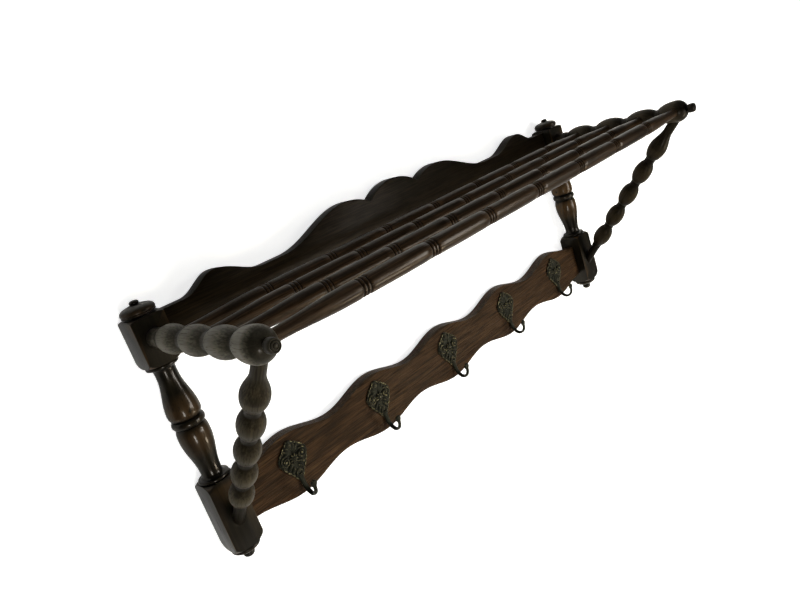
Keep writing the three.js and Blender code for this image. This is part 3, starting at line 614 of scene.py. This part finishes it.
# The two boards. Both are sawn from 22 mm oak and join the posts with stub tenons. The upper one
# has a lobed top, and both edges of the lower one are waved in step with the five hooks.
BOARD_FRONT = BOARD_BACK + BOARD_THICK
FRONT_ARRIS = 1.1
BACK_ARRIS = 0.5
BOARD_EDGE_WEAR_AND_HIGHLIGHT = 2.4
HOOK_PLACES = [(i - 2) * HOOK_PITCH for i in range(5)]
PLATE_MIDDLE = 50
SCREW_RISES = (22.5, -19.5)
SCREW_HOLE = 2.0
PILOT_DEEP = 13


def thick_plate(body, outline, by):
    """Makes a face of an outline and pushes it out to a thick plate."""
    face = body.faces.new([body.verts.new(point) for point in outline])
    grown = bmesh.ops.extrude_face_region(body, geom=[face])["geom"]
    moved = [part for part in grown if isinstance(part, bmesh.types.BMVert)]
    bmesh.ops.translate(body, verts=moved, vec=by)
    bmesh.ops.recalc_face_normals(body, faces=body.faces)


def sawn_board(name, edges, places, straight_below, holes):
    """A plank sawn to its outline, with eased arrises, a tenon at each end and pilot holes."""
    end = CLEAR_HALF - GAP
    along = [-end, *places, end]
    below = [-end, end] if straight_below else along
    outline = [(x, edges(x)[0]) for x in below] + [(x, edges(x)[1]) for x in reversed(along)]
    body = bmesh.new()
    thick_plate(body, [(x, -BOARD_BACK, height) for x, height in outline], (0, -BOARD_THICK, 0))
    for depth, offset in ((-BOARD_FRONT, FRONT_ARRIS), (-BOARD_BACK, BACK_ARRIS)):
        arrises = [
            edge for edge in body.edges if all(abs(v.co.y - depth) < 0.01 for v in edge.verts)
        ]
        ease(body, arrises, offset=offset, segments=3)
    # The front arrises get the pale worn colour, which is wear and painted highlight.
    proud = body.verts.layers.float.new("proud")
    for vert in body.verts:
        vert[proud] = BOARD_EDGE_WEAR_AND_HIGHLIGHT if 0.2 < vert.co.y + BOARD_FRONT < 0.9 else 0
    plank = object_of(name, body)
    low, high = edges(CLEAR_HALF)
    middle, half = -BOARD_BACK - BOARD_THICK / 2, TENON_THICK / 2
    foot, top = low + TENON_SHOULDER, high - TENON_SHOULDER
    tenons = []
    for side in (-1, 1):
        near, far = sorted((side * (end - 6), side * (CLEAR_HALF + TENON_LONG)))
        tenons.append(block((near, middle - half, foot), (far, middle + half, top)))
    pilots = []
    for x, height in holes:
        front = Matrix.Translation((x, -BOARD_FRONT, height)) @ FORWARDS
        pilots.append(rod(SCREW_HOLE, -PILOT_DEEP, OVERCUT, front, 16))
    worked(plank, joins=tenons, cuts=pilots)
    return plank


def spaced(start, end, steps):
    """Evenly spaced places, with the first and without the last."""
    return [start + (end - start) * step / steps for step in range(steps)]


lobe_ends = [0, NOTCH_SHARE, *(share for share, height in LOBE_LINE)]
lobe_shares = []
for start, end, steps in zip(lobe_ends, lobe_ends[1:], (14, 12, 34, 2, 22, 16)):
    lobe_shares += spaced(start, end, steps)
right_places = [share * CLEAR_HALF for share in [*lobe_shares, lobe_ends[-1]]]
lobe_places = [-x for x in reversed(right_places[1:])] + right_places
wave_places = spaced(-CLEAR_HALF, CLEAR_HALF, 180)[1:]
board_oak = oak_finish(
    "board_oak",
    stain=(0.019, 0.0092, 0.0038),
    light=(0.066, 0.0340, 0.0145),
    worn=(0.085, 0.060, 0.036),
    along=(1, 0, 0),
    rough=0.42,
    gloss=0.09,
    relief=0.9,
    fine=3.4,
)
# The upper board's oak is a darker copy of the lower one's, which is painted shade from the rails
# in front of it. Its pale worn colour on the front arrises is wear and painted highlight.
shaded_oak = oak_finish(
    "shaded_board_oak",
    stain=(0.0052, 0.0036, 0.0017),
    light=(0.0120, 0.0078, 0.0037),
    worn=(0.085, 0.076, 0.052),
    along=(1, 0, 0),
    rough=0.34,
    gloss=0.06,
    polish=0.01,
    relief=0.12,
    fine=3.0,
)
screw_spots = [(x, PLATE_MIDDLE + rise) for x in HOOK_PLACES for rise in SCREW_RISES]
for node, edges, places, straight, holes, oak in (
    ("upper_board", lobe_edges, lobe_places, True, (), shaded_oak),
    ("lower_board", wave_edges, wave_places, False, screw_spots, board_oak),
):
    plank = sawn_board(f"sawn_{node}", edges, places, straight, holes)
    fit(plank, rack_place(0, 0, 0), node, oak)

# The arms. Each is turned from oak to three bobbins, a ball and a ringed button, is glued into
# the upper block by a round tenon, and is bored for the four rails and for the brace. The two
# share one oak in two tones: the left one much paler, which is painted light, and the right one
# darker, which is painted shade.
BOBBINS = (55, 121.5, 188)
ARM_BOBBIN = {"radius": 18.4, "half_length": 35, "neck": 11}
ARM_FOOT_RADIUS = 12.8
BALL_RADIUS = 20
BUTTON_NECK = 5.8
BRACE_HEAD_STOP = 7
RAIL_END_FROM_AXIS = 10.5
RAIL_END_RADIUS = 7.7
CREST_WEAR = 0.6
ARM_WEAR_FROM = 15.5
BUTTON_PAINTED_SHADE = 0.24


def bobbin(middle, radius, half_length, neck, steps=12):
    """An ellipse about its middle, cut short at both ends by a neck and eased into it."""
    line = []
    for step in range(-steps, steps + 1):
        angle = math.acos(neck / radius) * step / steps
        line.append((radius * math.cos(angle), middle + half_length * math.sin(angle)))
    low = line[0][1]
    eased = [(neck - 0.1, low - 1.1), (neck + 0.35, low + 0.5)]
    return eased + line[1:-1] + [(r, middle * 2 - z) for r, z in reversed(eased)]


arm_outline = [(0, -ARM_TENON_LONG), (ARM_TENON_RADIUS, -ARM_TENON_LONG)]
arm_outline += [(ARM_TENON_RADIUS, GAP), (ARM_FOOT_RADIUS, GAP)]
arm_outline += swell((ARM_FOOT_RADIUS, GAP), (13.2, 21.75), 3)
for middle in BOBBINS:
    arm_outline += bobbin(middle, **ARM_BOBBIN)
ball_belt = (BALL_RADIUS, ARM_REACH)
arm_outline += flow((11.4, 221.6), (14.6, 226.4), (17.6, 234), (19.5, 244), ball_belt)
ball_cap = math.acos(BUTTON_NECK / BALL_RADIUS)
for step in range(1, 13):
    angle = ball_cap * step / 12
    arm_outline.append((BALL_RADIUS * math.cos(angle), ARM_REACH + BALL_RADIUS * math.sin(angle)))
button = arm_outline[-1][1]
for ring in (
    (
        (BUTTON_NECK, 0.3),
        (5.9, 1.0),
        (7.2, 1.9),
        (8.0, 3.4),
        (8.2, 5.6),
        (8.15, 8.6),
        (7.9, 10.9),
        (7.3, 12.3),
    ),
    ((6.8, 12.8), (6.2, 12.9), (5.7, 12.5)),
    ((5.3, 11.9), (4.9, 12.6), (4.4, 13.4), (3.7, 13.7), (3.1, 13.3)),
    ((2.8, 12.9), (2.5, 13.6), (1.8, 14.3), (0, 14.6)),
):
    arm_outline += flow(*((radius, button + rise) for radius, rise in ring), steps=3)
# Lit and shaded copies of one oak: the left's paler colours are painted light, the right's darker
# ones painted shade. The necks darken as grime and painted shade.
for name, side, stain, light, worn in (
    ("left", -1, (0.046, 0.0415, 0.0285), (0.094, 0.086, 0.0610), (0.180, 0.169, 0.132)),
    ("right", 1, (0.010, 0.0080, 0.0045), (0.022, 0.0165, 0.0090), (0.040, 0.030, 0.0165)),
):
    arm_oak_painted_light_and_shade = oak_finish(
        f"{name}_arm_oak_painted_light_and_shade",
        stain=stain,
        light=light,
        worn=worn,
        along=(0, 1, 0),
        rough=0.40,
        gloss=0.10,
        polish=0.09,
        relief=0.1,
        wear=(0.2, 2.6),
        fine=2.4,
        dirt_and_shade=(-2.4, 0.0),
    )
    body = turn(arm_outline, sides=64)
    # Crests pale as wear; the ball's outer half and the button are darkened, which is painted
    # shade.
    proud = body.verts.layers.float["proud"]
    for vert in body.verts:
        radius, front = math.hypot(vert.co.x, vert.co.y), max(0, vert.co.z - ARM_REACH)
        vert[proud] = CREST_WEAR * (radius - ARM_WEAR_FROM) - BUTTON_PAINTED_SHADE * front
    arm = object_of(f"bobbin_arm_{name}", body)
    sockets = []
    for middle in (*BOBBINS, ARM_REACH):
        inwards = Matrix.Translation((0, 0, middle)) @ Matrix.Rotation(-side * math.pi / 2, 4, "Y")
        sockets.append(rod(RAIL_END_RADIUS + GAP, RAIL_END_FROM_AXIS - GAP, 25, inwards))
    head = Matrix.Translation((0, -BRACE_AIM_DROP, ARM_REACH))
    head @= Matrix.Rotation(BRACE_TILT - math.pi / 2, 4, "X")
    sockets.append(rod(BRACE_END_RADIUS + GAP, -36, -BRACE_HEAD_STOP + GAP, head))
    worked(arm, cuts=sockets)
    place = rack_place(side * POST_X, -2 * BLOCK_HALF, ARM_HEIGHT) @ FORWARDS
    fit(arm, place, f"{name}_arm", arm_oak_painted_light_and_shade)

# The braces. Each is a turned strut of five bobbins, the highest one pear shaped, and is glued
# into the front of the lower block and into the underside of the arm's ball. The two share one
# oak in two tones: the left one paler, which is painted light, and the right one darker, which
# is painted shade.
BRACE_LINE = math.hypot(ARM_REACH, BRACE_RISE)
BRACE_FIRST = 68.6
BRACE_LAST = 71.6  # from the point that the brace aims at back to the pear's crest
BRACE_PITCH = (BRACE_LINE - BRACE_FIRST - BRACE_LAST) / 4
BRACE_BOBBIN = {"radius": 16.8, "half_length": 28.2, "neck": 9.6}
BRACE_WEAR_FROM = 13.5
PEAR_LONG = 39
PEAR_WEAR = 0.3

brace_outline = [(0, -BRACE_TENON_LONG), (BRACE_END_RADIUS, -BRACE_TENON_LONG)]
brace_outline += [(BRACE_END_RADIUS, BRACE_FIRST - 34)]
for i in range(5):
    brace_outline += bobbin(BRACE_FIRST + i * BRACE_PITCH, **BRACE_BOBBIN)
pear = BRACE_LINE - BRACE_LAST
brace_outline = [(r, z) for r, z in brace_outline if z <= pear]
brace_outline += swell((BRACE_BOBBIN["radius"], pear), (BRACE_END_RADIUS, pear + PEAR_LONG), 14)
brace_head = BRACE_LINE - BRACE_HEAD_STOP
brace_outline += [(BRACE_END_RADIUS, brace_head), (0, brace_head)]
# Lit and shaded copies of one oak: the left's paler colours are painted light, the right's darker
# ones painted shade. The necks darken as grime and painted shade.
for name, side, stain, light, worn in (
    ("left", -1, (0.0180, 0.0142, 0.0080), (0.0390, 0.0310, 0.0170), (0.066, 0.053, 0.0290)),
    ("right", 1, (0.0100, 0.0078, 0.0040), (0.0200, 0.0150, 0.0078), (0.036, 0.026, 0.0130)),
):
    brace_oak_painted_light_and_shade = oak_finish(
        f"{name}_brace_oak_painted_light_and_shade",
        stain=stain,
        light=light,
        worn=worn,
        along=(0, 0, 1),
        tilt=BRACE_TILT,
        rough=0.40,
        gloss=0.06,
        polish=0.04,
        relief=0.1,
        wear=(0.2, 2.6),
        fine=2.4,
        dirt_and_shade=(-2.4, 0.0),
    )
    body = turn(brace_outline, sides=56)
    proud = body.verts.layers.float["proud"]
    for vert in body.verts:
        vert[proud] = CREST_WEAR * (math.hypot(vert.co.x, vert.co.y) - BRACE_WEAR_FROM)
        if vert.co.z > pear:
            vert[proud] *= PEAR_WEAR
    brace = object_of(f"bobbin_brace_{name}", body)
    foot = rack_place(side * POST_X, -2 * BLOCK_HALF, BRACE_FOOT)
    place = foot @ Matrix.Rotation(BRACE_TILT, 4, "X")
    fit(brace, place, f"{name}_brace", brace_oak_painted_light_and_shade)

# The shelf rails. Four round oak rods lie between the arms. Each has seven bands of three turned
# grooves and tapers at both ends into a socket in a bobbin or in the ball.
RAIL_PLACES = [-(2 * BLOCK_HALF + middle) for middle in (*BOBBINS, ARM_REACH)]
RAIL_RADIUS = 11.55  # beside a band
RAIL_SWELL = 11.8  # half way between two bands
LAST_BAND = POST_X - 138
RAIL_PITCH = LAST_BAND / 3
RAIL_END = POST_X - RAIL_END_FROM_AXIS
BAND_HALF = 9.5
GROOVE_PITCH = 5.4


def banded_rail():
    """Half a rail's outline, from its middle to its end, with the bands' grooves rounded out."""
    half = []
    for band in range(4):
        middle = band * RAIL_PITCH
        if band > 0:
            start, end = middle - RAIL_PITCH / 2, middle - BAND_HALF
            half += swell((RAIL_SWELL, start), (RAIL_RADIUS, end), 6)
        for groove in (-1, 0, 1):
            if band == 0 and groove < 0:
                continue
            centre = middle + groove * GROOVE_PITCH
            ring = [(11.2, -2.0), (10.9, -1.6), (9.9, -1.2), (9.5, -0.5), (9.5, 0), (9.5, 0.5)]
            ring += [(9.9, 1.2), (10.9, 1.6), (11.2, 2.0)]
            half += [(r, centre + z) for r, z in ring if band > 0 or groove > 0 or z >= 0]
        if band < 3:
            start, end = middle + BAND_HALF, middle + RAIL_PITCH / 2
            half += swell((RAIL_RADIUS, start), (RAIL_SWELL, end), 6)
    taper = (11.4, LAST_BAND + 22)
    half += [(RAIL_RADIUS, LAST_BAND + BAND_HALF), taper]
    half += swell(taper, (RAIL_END_RADIUS, POST_X - 18.6), 14)
    return half + [(RAIL_END_RADIUS, RAIL_END), (0, RAIL_END)]


rail_half = banded_rail()
rail_outline = [(r, -z) for r, z in reversed(rail_half[1:])] + rail_half
# The bands' grooves darken, which is grime and painted shade.
rail_oak = oak_finish(
    "rail_oak",
    stain=(0.015, 0.0084, 0.0038),
    light=(0.052, 0.0300, 0.0145),
    worn=(0.085, 0.062, 0.034),
    along=(1, 0, 0),
    rough=0.34,
    gloss=0.12,
    polish=0.07,
    relief=0.08,
    wear=(0.6, 1.3),
    fine=2.4,
    dirt_and_shade=(-0.3, 0.2),
)
for i, y in enumerate(RAIL_PLACES):
    rail = object_of(f"banded_rail_{i + 1}", turn(rail_outline, sides=40, reach=2.2))
    place = rack_place(0, y, ARM_HEIGHT) @ Matrix.Rotation(math.pi / 2, 4, "Y")
    fit(rail, place, f"shelf_rail_{i + 1}", rail_oak)

# The coat hooks. Each is one casting of dark brass: a scalloped plate with a border, scrolls and
# leaves in relief, and below it a flat bar that bends forward and up to a leaf-shaped tip.
HALF_PLATE = [(0, 30.5), (8.2, 24.7), (15.9, 18.9), (22.1, 12.8), (25.7, 4.3)]
HALF_PLATE += [(22.6, -4.3), (18.0, -12.5), (12.3, -20.1), (7.7, -26.7), (4.8, -33)]
PLATE_THICK = 2.1
SCALLOP = 0.3
BORDER = 1.15
SCROLL = (14.6, 3.2)
ROSETTE = 1.5
BAR_LINE = ((-26, 1.6), (-33, 2.2), (-40, 2.9), (-49, 5.4), (-55.3, 11.5))
BAR_LINE += ((-57, 18.6), (-53.2, 26.6), (-45.6, 31), (-36, 32))
BAR_WIDER = 1.38
SCREW_SEAT = 3
CAST_DETAIL = 0.5
CAST_SMOOTHINGS = 3
BENT_TO_PROUD = 25


def scalloped(points, bulge, steps=7):
    """Joins the points by arcs that swell outwards, and mirrors the line to the left."""
    line = []
    for (ax, ay), (bx, by) in zip(points, points[1:]):
        control = ((ax + bx) / 2 + (ay - by) * bulge, (ay + by) / 2 + (bx - ax) * bulge)
        for step in range(steps):
            t = step / steps
            line.append(
                tuple(
                    (1 - t) ** 2 * a + 2 * t * (1 - t) * c + t**2 * b
                    for a, c, b in zip((ax, ay), control, (bx, by))
                )
            )
    line.append(points[-1])
    return line + [(-x, y) for x, y in reversed(line[1:])]


def rib(body, points, radii):
    """A modelled rib or bar: a round wire along points, thinned or thickened on its way."""
    curve = bpy.data.curves.new("rib", "CURVE")
    curve.dimensions = "3D"
    curve.bevel_depth = 1
    curve.bevel_resolution = 3
    curve.use_fill_caps = True
    spline = curve.splines.new("POLY")
    spline.points.add(len(points) - 1)
    for spot, point, radius in zip(spline.points, points, radii):
        spot.co = (*point, 1)
        spot.radius = radius
    holder = bpy.data.objects.new("rib", curve)
    wire = bpy.data.meshes.new_from_object(holder)
    body.from_mesh(wire)
    bpy.data.objects.remove(holder)
    bpy.data.meshes.remove(wire)


def petal(body, x, y, angle, length, width, rise, level=2.4):
    """A leaf or petal that starts at a place on the plate and points at an angle from upright."""
    turned = Matrix.Rotation(math.radians(-angle), 4, "Z")
    place = Matrix.Translation((x, y, level)) @ turned @ Matrix.Translation((0, length / 2, 0))
    shape = place @ Matrix.Diagonal((width / 2, length / 2, rise, 1))
    bmesh.ops.create_uvsphere(body, u_segments=20, v_segments=12, radius=1, matrix=shape)


def cast_hook():
    """One hook in millimetres, its back at Z = 0 and its front along +Z, as a cast skin."""
    body = bmesh.new()
    outline = scalloped(HALF_PLATE, SCALLOP)
    thick_plate(body, [(x, y, 0) for x, y in outline], (0, 0, PLATE_THICK))
    inner = scalloped([(x * 0.93, y * 0.95) for x, y in HALF_PLATE], SCALLOP)
    rib(body, [(x, y, 1.9) for x, y in [*inner, inner[0]]], [BORDER] * (len(inner) + 1))
    scroll_x, scroll_y = SCROLL
    for side in (-1, 1):
        spiral = []
        widths = []
        for step in range(30):
            t = step / 29
            angle = math.radians(115 - 560 * t)
            radius = 8.6 - 6.6 * t
            across = scroll_x + radius * math.cos(angle)
            up = scroll_y + radius * math.sin(angle)
            spiral.append(Vector((side * across, up, 2.9 + 2 * t)))
            widths.append(1.95 - 0.75 * t)
        rib(body, spiral, widths)
        seat = Matrix.Translation((side * scroll_x, scroll_y, 1.6))
        mound = seat @ Matrix.Diagonal((8.2, 8.2, 2.9, 1))
        bmesh.ops.create_uvsphere(body, u_segments=24, v_segments=12, radius=1, matrix=mound)
        eye = Matrix.Translation((side * scroll_x, scroll_y, 4.6))
        bmesh.ops.create_icosphere(body, subdivisions=3, radius=2.4, matrix=eye)
        for angle, length, width in ((24, 15.5, 6.2), (50, 15, 6.0), (76, 13, 5.0)):
            petal(body, side * 1.5, 9.5, side * angle, length, width, 2.2)
        for x, y, angle, length, width in (
            (4.5, -4.5, 128, 14, 6.4),
            (3.4, -10.5, 145, 12.5, 5.6),
            (2.2, -17.5, 160, 11.5, 4.6),
        ):
            petal(body, side * x, y, side * angle, length, width, 2.0)
    petal(body, 0, 13, 0, 16.5, 9.4, 1.6)
    for step in range(8):
        petal(body, 0, ROSETTE, 45 * step + 22.5, 7.6, 4.6, 3.2, 2.6)
    heart = Matrix.Translation((0, ROSETTE, 4.0))
    bmesh.ops.create_icosphere(body, subdivisions=3, radius=3.0, matrix=heart)
    for rise in SCREW_RISES:
        boss = rod(5.0, 0, 2.9, Matrix.Translation((0, rise, 0)))
        boss_mesh = bpy.data.meshes.new("boss")
        boss.to_mesh(boss_mesh)
        boss.free()
        body.from_mesh(boss_mesh)
        bpy.data.meshes.remove(boss_mesh)
    bar = flow(*BAR_LINE)
    first = len(body.verts)
    thick = [3.1 - 0.75 * step / (len(bar) - 1) for step in range(len(bar))]
    rib(body, [(0, y, z) for y, z in bar], thick)
    body.verts.ensure_lookup_table()
    bmesh.ops.scale(body, vec=(BAR_WIDER, 1, 1), verts=body.verts[first:])
    tip = Matrix.Translation((0, *BAR_LINE[-1])) @ Matrix.Rotation(math.radians(6), 4, "X")
    leaf = tip @ Matrix.Diagonal((5.8, 6.2, 2.7, 1))
    bmesh.ops.create_uvsphere(body, u_segments=24, v_segments=14, radius=1, matrix=leaf)
    return body


casting = object_of("casting", cast_hook())
skin = casting.modifiers.new("skin", "REMESH")
skin.mode = "VOXEL"
skin.voxel_size = CAST_DETAIL
skinned = finished_mesh(casting)
bpy.data.objects.remove(casting)
body = bmesh.new()
body.from_mesh(skinned)
for _ in range(CAST_SMOOTHINGS):
    bmesh.ops.smooth_vert(
        body, verts=body.verts, factor=0.5, use_axis_x=True, use_axis_y=True, use_axis_z=True
    )
closed_cut(body, (0, 0, 0.15), (0, 0, -1))
bmesh.ops.recalc_face_normals(body, faces=body.faces)
proud = body.verts.layers.float.new("proud")
bends = {}
for vert in body.verts:
    around = [edge.other_vert(vert).co for edge in vert.link_edges]
    middle = sum(around, Vector()) / len(around)
    bends[vert.index] = (vert.co - middle).dot(vert.normal)
for vert in body.verts:
    near = [bends[edge.other_vert(vert).index] for edge in vert.link_edges]
    vert[proud] = (bends[vert.index] + sum(near)) / (1 + len(near)) * BENT_TO_PROUD
pattern = object_of("pattern", body)
seats = []
for rise in SCREW_RISES:
    seat = Matrix.Translation((0, rise, 0))
    seats.append(rod(SCREW_HOLE, -2, 6, seat, 24))
    seats.append(rod(3.6, SCREW_SEAT, 9, seat, 32))
worked(pattern, cuts=seats)


def brass_finish(name, dark, bright, rough):
    """Cast brass gone dark, with dirt in its hollows and bare metal on its proud places."""
    material = bpy.data.materials.new(name)
    material.use_nodes = True
    nodes, links = material.node_tree.nodes, material.node_tree.links
    surface = nodes["Principled BSDF"]
    place = nodes.new("ShaderNodeTexCoord")
    patina = nodes.new("ShaderNodeTexNoise")
    patina.inputs["Scale"].default_value = 420
    patina.inputs["Detail"].default_value = 5
    links.new(place.outputs["Object"], patina.inputs["Vector"])
    attribute = nodes.new("ShaderNodeAttribute")
    attribute.attribute_name = "proud"
    spread = nodes.new("ShaderNodeMath")
    spread.operation = "MULTIPLY_ADD"
    spread.inputs[1].default_value = 3.0
    links.new(patina.outputs["Fac"], spread.inputs[0])
    links.new(attribute.outputs["Fac"], spread.inputs[2])
    share = nodes.new("ShaderNodeMapRange")
    share.inputs["From Min"].default_value = 2.2
    share.inputs["From Max"].default_value = 3.6
    links.new(spread.outputs[0], share.inputs["Value"])
    tone = nodes.new("ShaderNodeMix")
    tone.data_type = "RGBA"
    tone.inputs[6].default_value = (*dark, 1)
    tone.inputs[7].default_value = (*bright, 1)
    links.new(share.outputs["Result"], tone.inputs[0])
    links.new(tone.outputs[2], surface.inputs["Base Color"])
    dull = nodes.new("ShaderNodeMapRange")
    dull.inputs["To Min"].default_value = rough + 0.16
    dull.inputs["To Max"].default_value = rough - 0.08
    links.new(share.outputs["Result"], dull.inputs["Value"])
    links.new(dull.outputs["Result"], surface.inputs["Roughness"])
    surface.inputs["Metallic"].default_value = 0.85
    bump = nodes.new("ShaderNodeBump")
    bump.inputs["Strength"].default_value = 0.5
    bump.inputs["Distance"].default_value = 0.0001
    links.new(patina.outputs["Fac"], bump.inputs["Height"])
    links.new(bump.outputs["Normal"], surface.inputs["Normal"])
    return material


cast_brass = brass_finish("cast_brass", (0.009, 0.0095, 0.0052), (0.36, 0.32, 0.17), 0.34)
for i, x in enumerate(HOOK_PLACES):
    hook = bpy.data.objects.new(f"leaf_hook_{i + 1}", pattern.data.copy())
    bpy.context.scene.collection.objects.link(hook)
    place = rack_place(x, -BOARD_FRONT - GAP, PLATE_MIDDLE) @ FORWARDS
    fit(hook, place, f"coat_hook_{i + 1}", cast_brass, crease=50)
bpy.data.objects.remove(pattern)

# The screws. Two round-headed slotted brass screws hold each hook. They were driven by hand, so
# every slot stands at its own angle.
SLOT_TURNS = (12, 71, 140, 33, 98, 164, 55, 118, 5, 84)
screw_brass = brass_finish("screw_brass", (0.035, 0.033, 0.020), (0.36, 0.30, 0.17), 0.34)
screw_outline = [(0, -16), (0.9, -13.6), (1.7, -12), (1.7, 0), (3.2, 0), (3.3, 0.25)]
screw_outline += flow((3.3, 0.3), (3.0, 0.95), (2.1, 1.5), (0, 1.8))
for i, x in enumerate(HOOK_PLACES):
    for j, (level, rise) in enumerate(zip(("upper", "lower"), SCREW_RISES)):
        turned = turn(screw_outline, sides=24, reach=1.0)
        screw = object_of(f"slotted_screw_{i + 1}_{level}", turned)
        slot = block((-4, -0.4, 0.9), (4, 0.4, 3))
        angle = Matrix.Rotation(math.radians(SLOT_TURNS[2 * i + j]), 4, "Z")
        bmesh.ops.transform(slot, matrix=angle, verts=slot.verts)
        worked(screw, cuts=[slot])
        front = rack_place(x, -BOARD_FRONT - SCREW_SEAT - 2 * GAP, PLATE_MIDDLE + rise)
        place = front @ FORWARDS
        fit(screw, place, f"hook_screw_{i + 1}_{level}", screw_brass)
